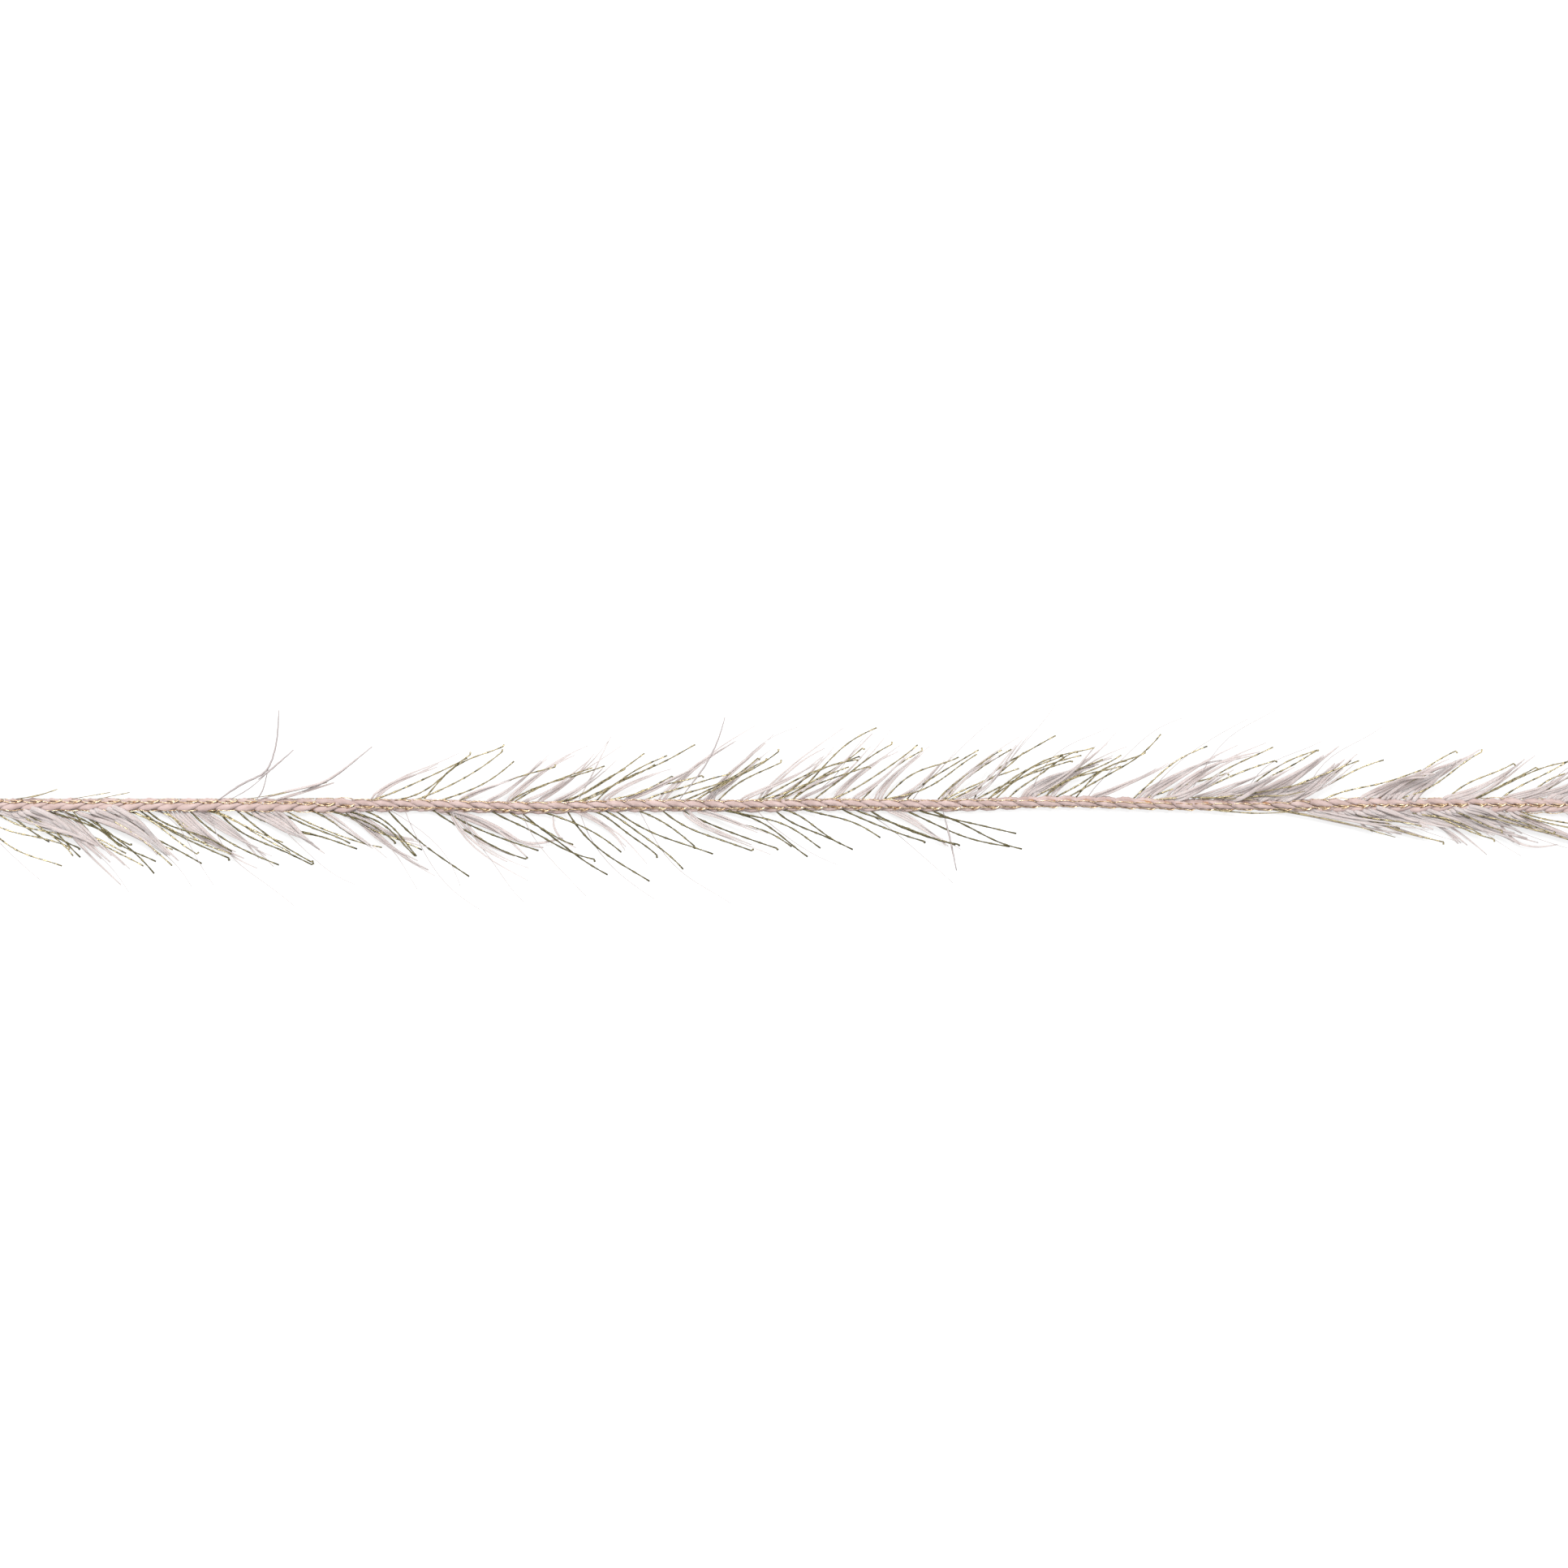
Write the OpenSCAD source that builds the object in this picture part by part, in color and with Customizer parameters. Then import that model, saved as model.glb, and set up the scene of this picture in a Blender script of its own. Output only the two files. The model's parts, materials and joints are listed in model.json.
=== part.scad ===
// Slim boa-style lash trim: a chain-stitched yarn core with two rows of cut lashes, rose yarn and gold
// metallic thread, laid out straight from a knotted free end to a tied hank.
// X runs along the strand with +X towards the hank, Z is up, and z = 0 is the surface it lies on.
// The laid-out stretch bends at four upright hinges, which stand in for the give of every stitch.

/* [Core] */
// Diameter of the chain-stitched core
core_d = 2; // [1.8:0.1:2.2]
// Length of one chain stitch
stitch = 3; // [2.8:0.1:3.2]
// Stitches in each of the three middle lengths between two bends
mid_stitches = 20; // [16:1:24]
// Stitches from an outer bend to the hank, and from the other outer bend to the knot
end_stitches = 12; // [10:1:14]
// Diameter of the gold thread that is chained in with the core
thread_d = 0.3; // [0.2:0.05:0.4]

/* [Lashes] */
// Thickness of a rose lash, which is a lock of several filaments
rose_d = 0.5; // [0.3:0.05:0.6]
// Thickness of a gold lash
gold_d = 0.28; // [0.2:0.02:0.3]
// Thickness of a fine loose fibre
fine_d = 0.12; // [0.1:0.02:0.16]
// Length of the longest rose and gold lashes
lash_l = 15; // [12:0.5:16]
// Length of the fine fibres
fine_l = 18; // [14:1:20]
// Angle between a lash and the core where it leaves the stitch
root_angle = 42; // [36:1:48]
// Angle between a lash and the core at its tip
tip_angle = 18; // [14:1:22]

/* [Ends] */
// Diameter of each end knot
knot_d = 4.4; // [4:0.2:5]
// Length of the bare core beyond the knot at the free end
tail_l = 11; // [8:1:14]

/* [Hank] */
// Length of the hank
hank_l = 84; // [76:1:90]
// Width of the hank
hank_w = 30; // [28:1:34]
// Height of the hank
hank_h = 10; // [9.5:0.5:12]
// How far along the hank its end knot lies
hank_knot_along = 66; // [55:1:70]
// How far to the near side (-Y) of the middle the hank's end knot lies
hank_knot_across = 10; // [0:1:11]
// Width of the tie round the middle of the hank
tie_w = 4.4; // [3:0.2:6]
// How far the tie pulls the hank in, all round
tie_squeeze = 1.5; // [1:0.1:2]

/* [Hidden] */
$fn = 32;

// Colours
rose_yarn = [0.84, 0.72, 0.70];
rose_lash = [0.80, 0.745, 0.735];
gold_metal = [0.80, 0.70, 0.42];
dark_gold = [0.50, 0.45, 0.26];
pale_fibre = [0.74, 0.71, 0.72];

// Where things stand along X: the free end's tail, the knot, the straight stretch, then the hank
lengths = 5;
knot_span = 5;
core_r = core_d / 2;
knot_r = knot_d / 2;
straight_l = (3 * mid_stitches + 2 * end_stitches) * stitch;
whole_l = tail_l + knot_span + straight_l + hank_l;
hank_x = whole_l / 2 - hank_l;
free_x = hank_x - straight_l;
tail_x = free_x - knot_span;
knot_x = free_x - knot_span / 2;

// Length 1 leaves the hank and length 5 ends in the knot; bend i is between lengths i and i + 1
function bend_x(i) = hank_x - (end_stitches + (i - 1) * mid_stitches) * stitch;
function right_x(i) = i == 1 ? hank_x : bend_x(i - 1);
function left_x(i) = i == lengths ? free_x : bend_x(i);
function stitches_in(i) = i == 1 || i == lengths ? end_stitches : mid_stitches;

// The ball at the end of one length turns in the cup of the next
ball_r = 0.95 * core_r;
cup_r = ball_r + 0.3;
hank_grip = 3;
neck_r = 0.8 * core_r;

// The strand twists, so that each row lies on its own side on some stretches and beside the other row
// on the rest: row a is on the far side (+Y) from one turn on, and row b only between two turns
turn_a = free_x + 62;
turn_b_on = free_x + 162;
turn_b_off = free_x + 195;
function side_a(x) = x < turn_a ? -1 : 1;
function side_b(x) = x > turn_b_on && x < turn_b_off ? 1 : -1;

// Heights of the lashes' levels, so that no lash crosses another
rose_a_z = core_r + 0.55;
gold_a_z = core_r + 0.13;
gold_b_z = core_r - 0.17;
rose_b_z = core_r - 0.60;
fine_z = core_d - 0.1;

// Lashes in a row differ in length a little, in a pattern that repeats rarely
function lash_share(n) = 0.9 + 0.1 * sin(137 * n);

// A straight round rod along X
module rod(x0, x1, r, y = 0, z = core_r) {
    translate([x0, y, z]) rotate([0, 90, 0]) cylinder(h = x1 - x0, r = r);
}

// One lash: an arc in a level plane that leaves the core and sweeps towards +X
module lash(x, side, z, d, l, a0 = root_angle, a1 = tip_angle) {
    bend_r = l / (a0 - a1) * 180 / PI;
    root_y = core_r / 2;
    mirror([0, side < 0 ? 1 : 0, 0])
        translate([x + bend_r * sin(a0), root_y - bend_r * cos(a0), z])
            rotate([0, 0, 90 + a1])
                rotate_extrude(angle = a0 - a1, $fn = 64)
                    translate([bend_r, 0]) circle(d = d, $fn = 16);
}

module core(i) {
    inner_x = i == 1 ? hank_x + hank_grip : right_x(i);
    outer_x = i == lengths ? knot_x + 0.3 : left_x(i);
    color(rose_yarn) difference() {
        union() {
            rod(outer_x, inner_x, core_r);
            if (i < lengths) translate([outer_x, 0, core_r]) sphere(ball_r);
        }
        if (i > 1) translate([inner_x, 0, core_r]) sphere(cup_r);
    }
}

module gold_thread(i) {
    clear = 2;
    color(gold_metal)
        rod(left_x(i) + clear, right_x(i) - clear, thread_d / 2, y = -0.45 * core_r, z = 1.85 * core_r);
}

module rose_row_a(i) {
    color(rose_lash) for (n = [1 : stitches_in(i)]) {
        x = right_x(i) - (n - 0.5) * stitch;
        lash(x, side_a(x), rose_a_z, rose_d, lash_l * lash_share(n));
    }
}

module rose_row_b(i) {
    color(rose_lash) for (n = [1 : stitches_in(i)]) {
        x = right_x(i) - (n - 0.5) * stitch;
        lash(x, side_b(x), rose_b_z, rose_d, lash_l * lash_share(n + 7));
    }
}

module gold_row_a(i) {
    color(gold_metal) for (n = [1 : stitches_in(i)]) {
        x = right_x(i) - (n - 0.25) * stitch;
        lash(x, side_a(x), gold_a_z, gold_d, lash_l * lash_share(n + 3));
    }
}

module gold_row_b(i) {
    color(dark_gold) for (n = [1 : stitches_in(i)]) {
        x = right_x(i) - (n - 0.25) * stitch;
        lash(x, side_b(x), gold_b_z, gold_d, lash_l * lash_share(n + 5));
    }
}

module fine_fibres(i) {
    every = 4;
    color(pale_fibre) for (n = [1 : floor(stitches_in(i) / every)]) {
        x = right_x(i) - (every * n - 1.2) * stitch;
        lash(x, n % 2 == 0 ? side_a(x) : side_b(x), fine_z, fine_d, fine_l, root_angle + 12, tip_angle + 14);
    }
}

module end_knot() {
    color(rose_yarn) translate([knot_x, 0, knot_r]) sphere(knot_r);
}

module end_tail() {
    neck_in = knot_x - 0.3;
    color(rose_yarn) union() {
        rod(tail_x - 0.5, neck_in, neck_r);
        rod(tail_x - tail_l, tail_x, core_r);
    }
}

// The waist that the tie pulls in, as a box through the hank, and the tie's outside
module waist(w) {
    inner_w = hank_w - 6;
    translate([hank_x + hank_l / 2 - w / 2, -inner_w / 2, tie_squeeze])
        cube([w, inner_w, hank_h - 2 * tie_squeeze]);
}

module hank() {
    end_r = hank_w / 2;
    flat_w = hank_w - 0.4;
    color(rose_lash) difference() {
        union() {
            translate([hank_x + end_r, -flat_w / 2, 0]) cube([hank_l - 2 * end_r, flat_w, hank_h]);
            for (x = [hank_x + end_r, hank_x + hank_l - end_r])
                translate([x, 0, 0]) cylinder(h = hank_h, r = end_r, $fn = 64);
        }
        difference() {
            translate([hank_x + hank_l / 2 - tie_w / 2, -hank_w, -1]) cube([tie_w, 2 * hank_w, hank_h + 2]);
            waist(tie_w + 1);
        }
    }
}

module hank_tie() {
    inner_w = hank_w - 6;
    outer_w = inner_w + 2 * tie_squeeze;
    bow_r = 1.8;
    color(rose_yarn) difference() {
        union() {
            translate([hank_x + hank_l / 2 - tie_w / 2, -outer_w / 2, 0]) cube([tie_w, outer_w, hank_h]);
            translate([hank_x + hank_l / 2, 0, hank_h]) sphere(bow_r);
        }
        waist(tie_w + 1);
    }
}

module hank_knot() {
    lap = 0.6;
    color(rose_yarn)
        translate([hank_x + hank_knot_along, -hank_knot_across, hank_h + knot_r - lap]) sphere(knot_r);
}

core(1);  // core_1
core(2);  // core_2
core(3);  // core_3
core(4);  // core_4
core(5);  // core_5
gold_thread(1);  // gold_thread_1
gold_thread(2);  // gold_thread_2
gold_thread(3);  // gold_thread_3
gold_thread(4);  // gold_thread_4
gold_thread(5);  // gold_thread_5
rose_row_a(1);  // rose_row_a_1
rose_row_a(2);  // rose_row_a_2
rose_row_a(3);  // rose_row_a_3
rose_row_a(4);  // rose_row_a_4
rose_row_a(5);  // rose_row_a_5
rose_row_b(1);  // rose_row_b_1
rose_row_b(2);  // rose_row_b_2
rose_row_b(3);  // rose_row_b_3
rose_row_b(4);  // rose_row_b_4
rose_row_b(5);  // rose_row_b_5
gold_row_a(1);  // gold_row_a_1
gold_row_a(2);  // gold_row_a_2
gold_row_a(3);  // gold_row_a_3
gold_row_a(4);  // gold_row_a_4
gold_row_a(5);  // gold_row_a_5
gold_row_b(1);  // gold_row_b_1
gold_row_b(2);  // gold_row_b_2
gold_row_b(3);  // gold_row_b_3
gold_row_b(4);  // gold_row_b_4
gold_row_b(5);  // gold_row_b_5
fine_fibres(1);  // fine_fibres_1
fine_fibres(2);  // fine_fibres_2
fine_fibres(3);  // fine_fibres_3
fine_fibres(4);  // fine_fibres_4
fine_fibres(5);  // fine_fibres_5
end_knot();
end_tail();
hank();
hank_knot();
hank_tie();
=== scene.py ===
"""Slim boa-style lash trim: a chain-stitched rose yarn core with rose and gold lashes.

The strand lies straight from its knotted free end to a tied hank that holds the rest of it. Each span of
the straight strand crosses one bend of the frame and bends smoothly with it.
"""

import bisect
import json
import math
import random

import bpy
from mathutils import Vector
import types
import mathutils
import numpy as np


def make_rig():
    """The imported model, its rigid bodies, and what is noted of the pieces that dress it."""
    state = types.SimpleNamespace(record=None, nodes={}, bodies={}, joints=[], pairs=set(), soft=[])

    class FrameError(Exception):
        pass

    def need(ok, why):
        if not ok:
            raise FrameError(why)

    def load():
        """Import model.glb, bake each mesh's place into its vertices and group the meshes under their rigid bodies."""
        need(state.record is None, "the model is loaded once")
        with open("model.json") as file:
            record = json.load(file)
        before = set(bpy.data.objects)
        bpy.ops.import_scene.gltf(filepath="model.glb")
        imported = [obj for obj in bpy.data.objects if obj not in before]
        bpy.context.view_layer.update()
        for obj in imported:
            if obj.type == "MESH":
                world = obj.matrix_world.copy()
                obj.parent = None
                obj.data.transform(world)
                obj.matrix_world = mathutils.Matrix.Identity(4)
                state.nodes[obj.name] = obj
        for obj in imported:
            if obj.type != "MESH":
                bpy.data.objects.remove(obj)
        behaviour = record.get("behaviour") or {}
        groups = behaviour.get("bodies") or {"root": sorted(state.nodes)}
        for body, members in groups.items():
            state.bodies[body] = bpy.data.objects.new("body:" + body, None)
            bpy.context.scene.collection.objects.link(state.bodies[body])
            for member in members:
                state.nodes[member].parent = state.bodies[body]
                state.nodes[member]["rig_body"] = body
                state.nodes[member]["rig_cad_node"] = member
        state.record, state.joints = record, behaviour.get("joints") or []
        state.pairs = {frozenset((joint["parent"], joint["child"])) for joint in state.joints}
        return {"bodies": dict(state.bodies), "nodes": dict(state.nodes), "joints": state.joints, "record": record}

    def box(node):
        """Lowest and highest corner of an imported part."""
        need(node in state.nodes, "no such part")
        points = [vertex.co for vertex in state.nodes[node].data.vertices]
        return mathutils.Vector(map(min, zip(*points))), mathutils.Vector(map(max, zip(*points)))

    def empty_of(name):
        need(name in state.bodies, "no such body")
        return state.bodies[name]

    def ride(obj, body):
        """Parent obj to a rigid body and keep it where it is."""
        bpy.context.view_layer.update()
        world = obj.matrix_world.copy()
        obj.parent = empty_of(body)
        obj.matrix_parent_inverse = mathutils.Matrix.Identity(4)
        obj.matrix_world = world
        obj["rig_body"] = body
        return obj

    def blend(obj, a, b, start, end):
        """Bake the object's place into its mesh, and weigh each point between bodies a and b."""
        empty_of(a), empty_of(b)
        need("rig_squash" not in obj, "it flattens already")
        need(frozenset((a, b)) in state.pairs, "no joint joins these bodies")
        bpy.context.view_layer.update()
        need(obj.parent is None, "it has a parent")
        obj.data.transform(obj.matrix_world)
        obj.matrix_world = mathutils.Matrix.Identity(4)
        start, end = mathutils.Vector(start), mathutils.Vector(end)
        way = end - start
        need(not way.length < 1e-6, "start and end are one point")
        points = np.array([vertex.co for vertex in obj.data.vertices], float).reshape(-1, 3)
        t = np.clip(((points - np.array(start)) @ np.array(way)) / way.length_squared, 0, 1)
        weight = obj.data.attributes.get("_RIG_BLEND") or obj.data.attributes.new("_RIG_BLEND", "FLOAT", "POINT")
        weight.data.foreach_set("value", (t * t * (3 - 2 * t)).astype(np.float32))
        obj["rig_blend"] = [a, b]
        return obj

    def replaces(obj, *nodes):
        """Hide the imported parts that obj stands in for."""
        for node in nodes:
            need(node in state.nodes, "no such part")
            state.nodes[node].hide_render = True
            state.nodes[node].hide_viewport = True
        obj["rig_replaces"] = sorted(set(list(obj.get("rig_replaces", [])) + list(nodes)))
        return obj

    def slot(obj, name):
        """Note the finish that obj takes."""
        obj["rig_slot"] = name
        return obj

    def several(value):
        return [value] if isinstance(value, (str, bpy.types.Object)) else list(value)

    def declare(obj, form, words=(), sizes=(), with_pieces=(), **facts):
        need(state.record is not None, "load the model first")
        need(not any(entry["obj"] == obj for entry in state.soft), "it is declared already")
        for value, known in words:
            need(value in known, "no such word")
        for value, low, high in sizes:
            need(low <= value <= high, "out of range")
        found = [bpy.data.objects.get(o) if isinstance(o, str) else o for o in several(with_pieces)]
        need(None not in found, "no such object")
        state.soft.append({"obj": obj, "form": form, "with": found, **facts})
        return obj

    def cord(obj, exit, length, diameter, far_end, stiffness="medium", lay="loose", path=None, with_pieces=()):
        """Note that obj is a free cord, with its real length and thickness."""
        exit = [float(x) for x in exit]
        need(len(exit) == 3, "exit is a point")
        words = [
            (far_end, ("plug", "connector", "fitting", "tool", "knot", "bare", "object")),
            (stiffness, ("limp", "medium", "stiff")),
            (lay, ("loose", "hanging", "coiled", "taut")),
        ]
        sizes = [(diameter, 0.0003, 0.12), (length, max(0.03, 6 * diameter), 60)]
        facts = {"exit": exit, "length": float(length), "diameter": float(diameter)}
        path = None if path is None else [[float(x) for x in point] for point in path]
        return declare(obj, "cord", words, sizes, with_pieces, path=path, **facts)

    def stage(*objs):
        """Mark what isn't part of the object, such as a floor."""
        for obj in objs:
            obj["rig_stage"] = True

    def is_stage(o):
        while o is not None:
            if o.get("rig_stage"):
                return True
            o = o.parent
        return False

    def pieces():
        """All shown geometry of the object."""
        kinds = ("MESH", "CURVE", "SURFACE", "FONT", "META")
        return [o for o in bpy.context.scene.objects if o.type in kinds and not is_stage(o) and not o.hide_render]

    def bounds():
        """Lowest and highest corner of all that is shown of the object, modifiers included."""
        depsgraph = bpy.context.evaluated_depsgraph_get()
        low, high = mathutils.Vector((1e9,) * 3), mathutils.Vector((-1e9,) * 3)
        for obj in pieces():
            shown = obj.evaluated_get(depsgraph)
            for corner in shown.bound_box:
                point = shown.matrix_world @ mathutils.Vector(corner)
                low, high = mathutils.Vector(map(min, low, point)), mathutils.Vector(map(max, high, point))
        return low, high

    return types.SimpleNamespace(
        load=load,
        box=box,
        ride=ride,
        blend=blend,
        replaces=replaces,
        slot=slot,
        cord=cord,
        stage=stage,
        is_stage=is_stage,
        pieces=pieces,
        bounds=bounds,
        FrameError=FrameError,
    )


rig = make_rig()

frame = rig.load()
CAD_LOW, CAD_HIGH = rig.bounds()

bl_info = {
    "name": "Lash trim",
    "version": (1, 0, 0),
    "blender": (4, 5, 0),
    "location": "3D View > Sidebar > Lash trim",
    "description": "Models a chain-stitched lash trim with a knotted end and a tied hank",
    "category": "Add Mesh",
}

MM = 0.001
UP = Vector((0, 0, 1))

# Places that the frame gives
core_low, core_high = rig.box("core_1")
hank_low, hank_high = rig.box("hank")
tie_low, tie_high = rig.box("hank_tie")
knot_low, knot_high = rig.box("end_knot")
hank_knot_low, hank_knot_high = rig.box("hank_knot")
CORE_R = (core_high.z - core_low.z) / 2
HANK_X = hank_low.x
KNOT = (knot_low + knot_high) / 2
KNOT_R = (knot_high.x - knot_low.x) / 2
HANK_KNOT = (hank_knot_low + hank_knot_high) / 2
TAIL_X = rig.box("end_tail")[0].x
FREE_X = KNOT.x + KNOT_R + 0.3 * MM
BENDS = [Vector(joint["pos_m"]) for joint in frame["joints"]]
BEND_GAP = BENDS[0].x - BENDS[1].x
# How far a bend reaches to either side of its middle
BEND_HALF = 0.42 * BEND_GAP
BODIES = ["root", "length_2", "length_3", "length_4", "free_end"]
# The least height of a lash's middle line above the floor
FLOOR_GAP = 0.12 * MM

# How the strand twists: distance from the free end in millimetres, then the turn of the chain's face in
# degrees, where a positive turn tips the face towards the near side (-Y)
TWIST = ((0, -40), (48, -36), (66, 44), (152, 44), (168, 78), (198, 78), (216, 6), (252, 0))
# Where row a stands on the far side (+Y), and where row b does, as distances from the free end
ROW_A_FAR = (60, 999)
ROW_B_FAR = (150, 200)
# How many stitches of one row have a rose lock, and how many have a gold lash, on each side of the strand
ROSE_FAR = ((60, 0.82), (149, 0.82), (151, 0.4), (199, 0.4), (201, 0.76))
ROSE_NEAR = ((36, 0.44), (40, 0.27), (59, 0.27), (61, 0.17), (199, 0.17), (201, 0.66))
GOLD_FAR = ((60, 0.85), (149, 0.85), (151, 0.55), (199, 0.55), (201, 0.75))
GOLD_NEAR = ((36, 0.85), (40, 0.66), (59, 0.66), (61, 0.6), (199, 0.6), (201, 0.75))
# How far along row b's gold is darkened as painted shade, where it is on the near side
SHADED_GOLD_TO = 200
# How wide the middle of a rose lock is, in millimetres, along the strand
WEB = ((0, 1.5), (50, 1.1), (72, 0.42), (150, 0.46), (168, 1.0), (200, 1.15), (252, 1.3))
# The slope of the far and near lashes to the strand, in degrees, along the strand
FAR_SLOPE = ((0, 24), (60, 26), (90, 31), (150, 34), (200, 30), (252, 28))
NEAR_SLOPE = ((0, 31), (60, 35), (88, 39), (114, 30), (150, 23), (205, 15), (230, 19), (252, 20))


# ---------------------------------------------------------------- sizes, colours and looks

def length_property(name, about, default):
    return bpy.props.FloatProperty(name=name, description=about, default=default, min=0, subtype="DISTANCE",
                                   unit="LENGTH", precision=5)


def colour_property(name, about, default):
    return bpy.props.FloatVectorProperty(name=name, description=about, default=default, size=3, min=0, max=1,
                                         subtype="COLOR")


class LashTrimSizes(bpy.types.PropertyGroup):
    """Sizes of the strand's yarns and lashes"""

    stitch: length_property("Stitch", "Length of one chain stitch", 3 * MM)
    leg: length_property("Chain leg", "Thickness of one leg of a chain stitch", 1.08 * MM)
    gold: length_property("Gold thread", "Thickness of the metallic thread", 0.34 * MM)
    filament: length_property("Rose filament", "Width of one flat filament of a rose lock", 0.4 * MM)
    fibre: length_property("Fine fibre", "Thickness of a fine loose fibre", 0.13 * MM)
    lash: length_property("Lash", "Length of a full lash", 17 * MM)
    seed: bpy.props.IntProperty(name="Seed", description="Another seed gives another strand", default=11)


class LashTrimHank(bpy.types.PropertyGroup):
    """How the rest of the strand is folded away"""

    run: length_property("Run", "Straight part of each turn of the hank", 52 * MM)
    inner: length_property("Inner turn", "Half the width of the innermost turn", 6 * MM)
    beside: length_property("Gap beside", "From one turn to the next one beside it", 4 * MM)
    above: length_property("Gap above", "From one layer of turns to the next", 2.6 * MM)
    layers: bpy.props.IntProperty(name="Layers", description="Layers of turns", default=3, min=1, max=4)
    turns: bpy.props.IntProperty(name="Turns", description="Turns in a layer", default=3, min=1, max=4)


class LashTrimColours(bpy.types.PropertyGroup):
    """Colours of the yarns and threads"""

    yarn: colour_property("Yarn", "Lit side of the chain's yarn", (0.445, 0.343, 0.324))
    yarn_shade: colour_property("Yarn shade", "Darker plies of the chain's yarn", (0.33, 0.24, 0.22))
    # The rod inside the chain: orange-brown like the gold thread seen in the gaps, and dark as painted shade
    recess_tint_and_shade: colour_property("Recess", "The core's inside, seen between the stitches", (0.34, 0.17, 0.085))
    rose: colour_property("Rose lash", "Pale filaments of the rose lashes", (0.445, 0.395, 0.385))
    rose_shade: colour_property("Rose lash shade", "Darker filaments of the rose lashes", (0.36, 0.31, 0.3))
    # The chain thread's light and dark turns: partly its foil and darker plies, partly painted glints and shade
    chain_gold: colour_property("Chain gold", "Bright turns of the thread in the chain", (0.8, 0.65, 0.44))
    chain_shade: colour_property("Chain gold shade", "Dark turns of the thread in the chain",
                                 (0.32, 0.19, 0.10))
    # The gold lashes' light and dark turns: partly their foil and darker plies, partly painted glints and shade
    gold: colour_property("Gold", "Bright turns of the gold lashes", (0.42, 0.35, 0.20))
    gold_shade: colour_property("Gold shade", "Dark turns of the gold lashes", (0.075, 0.065, 0.03))
    # Gold of row b's near-side lashes, darkened as painted shade of that side
    gold_shaded_side: colour_property("Dark gold", "Bright turns of the gold lashes of row b", (0.14, 0.118, 0.055))
    fibre: colour_property("Fine fibre", "The fine silvery fibres", (0.36, 0.325, 0.325))


class LashTrimStage(bpy.types.PropertyGroup):
    """Camera, floor and light"""

    lens: bpy.props.FloatProperty(name="Lens", description="Focal length in millimetres", default=100)
    margin: length_property("Margin", "How far inside the straight strand's ends the view ends", 5.4 * MM)
    rise: length_property("Rise", "How far beyond the strand the view's middle is", 3.3 * MM)
    floor: colour_property("Floor", "Colour of the floor", (0.25, 0.25, 0.25))
    glow: bpy.props.FloatProperty(name="Glow", description="Light that the floor gives off", default=0.72)
    sky: bpy.props.FloatProperty(name="Sky", description="Strength of the light from all round", default=0.95)
    key: bpy.props.FloatProperty(name="Key", description="Power of the key light in watts", default=9.0)


def sizes():
    return bpy.context.scene.lash_trim_sizes


def colours():
    return bpy.context.scene.lash_trim_colours


# ---------------------------------------------------------------- lines and places

def clamped(value, least=0, most=1):
    return min(max(value, least), most)


def smooth_step(share):
    """The part of a change that is done, where the change starts and ends gently."""
    return share * share * (3 - 2 * share)


def eased(distance, keys):
    """The value at a distance, eased between the (distance, value) keys."""
    for (start, low), (end, high) in zip(keys, keys[1:]):
        if distance <= end:
            return low + (high - low) * smooth_step(clamped((distance - start) / (end - start)))
    return keys[-1][1]


class Route:
    """A line through points, with a place and a frame at every distance along it."""

    def __init__(self, points):
        self.points = [Vector(p) for p in points]
        self.marks = [0.0]
        for here, there in zip(self.points, self.points[1:]):
            self.marks.append(self.marks[-1] + (there - here).length)
        self.length = self.marks[-1]
        last = len(self.points) - 1
        self.headings = [(self.points[min(i + 1, last)] - self.points[max(i - 1, 0)]).normalized()
                         for i in range(last + 1)]

    def at(self, distance):
        """Point, heading, side and upward direction; beyond either end the line goes straight on."""
        inside = clamped(distance, 0, self.length)
        i = clamped(bisect.bisect_right(self.marks, inside) - 1, 0, len(self.points) - 2)
        share = (inside - self.marks[i]) / (self.marks[i + 1] - self.marks[i])
        heading = self.headings[i].lerp(self.headings[i + 1], share).normalized()
        point = self.points[i].lerp(self.points[i + 1], share) + heading * (distance - inside)
        side = UP.cross(heading).normalized()
        return point, heading, side, heading.cross(side)

    def beside(self, distance, out, high):
        """A point out to the side of the line and above it."""
        point, _, side, up = self.at(distance)
        return point + side * out + up * high

    def around(self, distance, across, depth, turn):
        """A point across and in front of the chain's face, which is turned about the line."""
        point, _, side, up = self.at(distance)
        sine, cosine = math.sin(turn), math.cos(turn)
        return point + side * (across * cosine - depth * sine) + up * (across * sine + depth * cosine)

    def stitch_count(self):
        return round(self.length / sizes().stitch)

    def pitch(self):
        """The length of a stitch, when whole stitches fill the line."""
        return self.length / self.stitch_count()

    def stitches(self):
        """Distances of the middles of the stitches."""
        count = self.stitch_count()
        return [(i + 0.5) * self.length / count for i in range(count)]


def from_free_end(x):
    """Distance in millimetres from the free end's knot."""
    return (x - FREE_X) / MM


def face_turn(x):
    return math.radians(eased(from_free_end(x), TWIST))


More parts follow.
